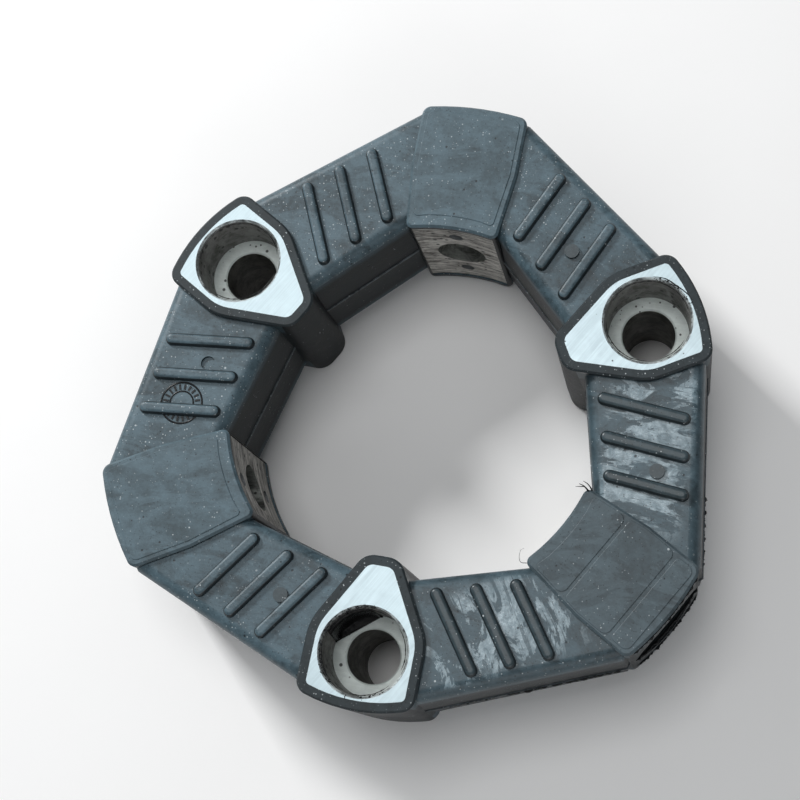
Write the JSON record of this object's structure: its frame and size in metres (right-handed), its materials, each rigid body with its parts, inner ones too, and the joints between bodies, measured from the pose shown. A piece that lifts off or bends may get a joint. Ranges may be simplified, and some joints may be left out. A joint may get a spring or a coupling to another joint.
{
  "type": "rubber ring shaft coupling",
  "caption": "Flexible shaft coupling element: a ring of ribbed rubber columns bonded to aluminium inserts for axial screws to a flange and radial screws to a hub.",
  "frame": {"origin": "on the coupling axis, in the plane of the axial inserts' lower faces", "axes": "+Z along the coupling axis, upwards to the open screw seats; +Y towards radial insert 1"},
  "size_m": [0.1246, 0.1275, 0.032],
  "materials": {
    "rubber": "moulded rubber, dull blue-black with pale wax bloom and dust",
    "aluminium": "machined aluminium, faintly brushed, darker cast walls in the screw seats"
  },
  "bodies": {
    "root": {"rubber_body": "rubber", "axial_insert_1": "aluminium", "axial_insert_2": "aluminium", "axial_insert_3": "aluminium", "radial_insert_1": "aluminium", "radial_insert_2": "aluminium", "radial_insert_3": "aluminium"}
  },
  "joints": []
}
